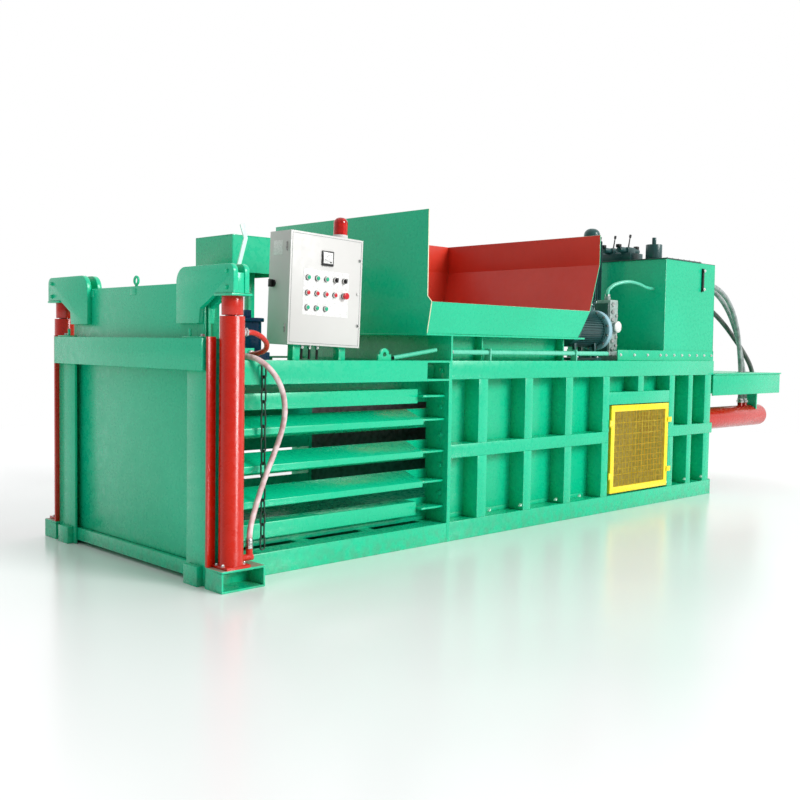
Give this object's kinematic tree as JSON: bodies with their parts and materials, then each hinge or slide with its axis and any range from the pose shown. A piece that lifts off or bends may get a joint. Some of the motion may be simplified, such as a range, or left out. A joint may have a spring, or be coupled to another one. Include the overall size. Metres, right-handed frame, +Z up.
{
  "type": "recycling baler",
  "caption": "Horizontal baling press with an open-top hopper, a ribbed press section, a bale chamber with wire slots, a lifting gate and a control cabinet.",
  "frame": {"origin": "middle of the footprint's length and width, on the ground", "axes": "+X along the machine from the gate to the ram cylinders, +Y away from the operator's side, +Z up"},
  "size_m": [8.345, 2.55, 2.825],
  "materials": {
    "green_enamel": "gloss",
    "red_enamel": "gloss",
    "bare_steel": "brushed",
    "dark_enamel": "satin",
    "grey_casting": "cast",
    "green_pipe": "gloss",
    "blue_enamel": "gloss",
    "cabinet_grey": "satin",
    "red_lens": "gloss",
    "pale_hose": "satin",
    "grey_hose": "matte",
    "hard_chrome": "polished",
    "meter_plastic": "gloss",
    "yellow_enamel": "gloss",
    "black_plastic": "gloss",
    "green_plastic": "gloss",
    "red_plastic": "gloss"
  },
  "bodies": {
    "frame": {"chamber_floor": "green_enamel", "chamber_sides": "green_enamel", "chamber_roof": "green_enamel", "joint_flange": "green_enamel", "flange_bolts": "bare_steel", "press_floor": "green_enamel", "press_sides": "green_enamel", "press_deck": "green_enamel", "ram_guides": "bare_steel", "rear_bulkhead": "green_enamel", "tail_frame": "green_enamel", "hopper_base": "green_enamel", "hopper": "green_enamel", "gate_posts": "green_enamel", "guide_rails": "red_enamel", "cross_beam": "green_enamel", "cylinder_feet": "green_enamel", "lift_barrels": "red_enamel", "main_barrels": "red_enamel", "oil_tank": "green_enamel", "tank_lid": "dark_enamel", "level_gauge": "bare_steel", "pump_motor": "dark_enamel", "hydraulic_pump": "grey_casting", "standby_motor": "dark_enamel", "valve_block": "dark_enamel", "oil_pipes": "green_pipe", "port_pipes": "red_enamel", "safety_chain": "bare_steel", "valve_hood": "green_enamel", "gate_valve": "blue_enamel", "cabinet_case": "cabinet_grey", "beacon_lens": "red_lens", "lift_hose_near": "pale_hose", "lift_hose_far": "pale_hose", "tank_hose_upper": "grey_hose", "tank_hose_middle": "grey_hose", "tank_hose_lower": "grey_hose"},
    "gate": {"gate_panel": "green_enamel", "gate_hooks": "green_enamel", "lift_rods": "hard_chrome"},
    "ram": {"ram_body": "bare_steel", "ram_rods": "hard_chrome"},
    "control_door": {"cabinet_door": "cabinet_grey", "panel_meter": "meter_plastic"},
    "net_door": {"net_door": "yellow_enamel"},
    "main_switch": {"main_switch": "black_plastic"},
    "stop_button": {"stop_button": "red_plastic"},
    "selector_1": {"selector_1": "black_plastic"},
    "selector_2": {"selector_2": "black_plastic"},
    "green_button_1": {"green_button_1": "green_plastic"},
    "green_button_2": {"green_button_2": "green_plastic"},
    "green_button_3": {"green_button_3": "green_plastic"},
    "green_button_4": {"green_button_4": "green_plastic"},
    "green_button_5": {"green_button_5": "green_plastic"},
    "green_button_6": {"green_button_6": "green_plastic"},
    "red_button_1": {"red_button_1": "red_plastic"},
    "red_button_2": {"red_button_2": "red_plastic"},
    "red_button_3": {"red_button_3": "red_plastic"},
    "red_button_4": {"red_button_4": "red_plastic"}
  },
  "joints": [
    {"name": "gate_lift", "type": "slide", "parent": "frame", "child": "gate", "axis": [0, 0, 1], "range_m": [0, 1.2]},
    {"name": "ram_stroke", "type": "slide", "parent": "frame", "child": "ram", "axis": [-1, 0, 0], "range_m": [0, 2.2]},
    {"name": "control_door_hinge", "type": "hinge", "parent": "frame", "child": "control_door", "pos_m": [-3.4223, -0.933, 1.95152], "axis": [-0.0349, 0, -0.9994], "range_deg": [0, 110]},
    {"name": "net_door_hinge", "type": "hinge", "parent": "frame", "child": "net_door", "pos_m": [0.3925, -1.009, 0.6], "axis": [0, 0, -1], "range_deg": [0, 110]},
    {"name": "main_switch_turn", "type": "hinge", "parent": "frame", "child": "main_switch", "pos_m": [-3.43125, -0.785, 1.98185], "axis": [0.9994, 0, -0.0349], "range_deg": [0, 90]},
    {"name": "green_button_1_press", "type": "slide", "parent": "control_door", "child": "green_button_1", "axis": [0, 1, 0], "range_m": [0, 0.004], "stiffness_N_per_m": 800},
    {"name": "green_button_2_press", "type": "slide", "parent": "control_door", "child": "green_button_2", "axis": [0, 1, 0], "range_m": [0, 0.004], "stiffness_N_per_m": 800},
    {"name": "green_button_3_press", "type": "slide", "parent": "control_door", "child": "green_button_3", "axis": [0, 1, 0], "range_m": [0, 0.004], "stiffness_N_per_m": 800},
    {"name": "selector_1_turn", "type": "hinge", "parent": "control_door", "child": "selector_1", "pos_m": [-3.01453, -0.96, 2.01689], "axis": [0, 1, 0], "range_deg": [-45, 45]},
    {"name": "selector_2_turn", "type": "hinge", "parent": "control_door", "child": "selector_2", "pos_m": [-2.93142, -0.96, 2.01398], "axis": [0, 1, 0], "range_deg": [-45, 45]},
    {"name": "red_button_1_press", "type": "slide", "parent": "control_door", "child": "red_button_1", "axis": [0, 1, 0], "range_m": [0, 0.004], "stiffness_N_per_m": 800},
    {"name": "red_button_2_press", "type": "slide", "parent": "control_door", "child": "red_button_2", "axis": [0, 1, 0], "range_m": [0, 0.004], "stiffness_N_per_m": 800},
    {"name": "red_button_3_press", "type": "slide", "parent": "control_door", "child": "red_button_3", "axis": [0, 1, 0], "range_m": [0, 0.004], "stiffness_N_per_m": 800},
    {"name": "red_button_4_press", "type": "slide", "parent": "control_door", "child": "red_button_4", "axis": [0, 1, 0], "range_m": [0, 0.004], "stiffness_N_per_m": 800},
    {"name": "stop_button_press", "type": "slide", "parent": "control_door", "child": "stop_button", "axis": [0, 1, 0], "range_m": [0, 0.004], "stiffness_N_per_m": 800},
    {"name": "green_button_4_press", "type": "slide", "parent": "control_door", "child": "green_button_4", "axis": [0, 1, 0], "range_m": [0, 0.004], "stiffness_N_per_m": 800},
    {"name": "green_button_5_press", "type": "slide", "parent": "control_door", "child": "green_button_5", "axis": [0, 1, 0], "range_m": [0, 0.004], "stiffness_N_per_m": 800},
    {"name": "green_button_6_press", "type": "slide", "parent": "control_door", "child": "green_button_6", "axis": [0, 1, 0], "range_m": [0, 0.004], "stiffness_N_per_m": 800}
  ]
}
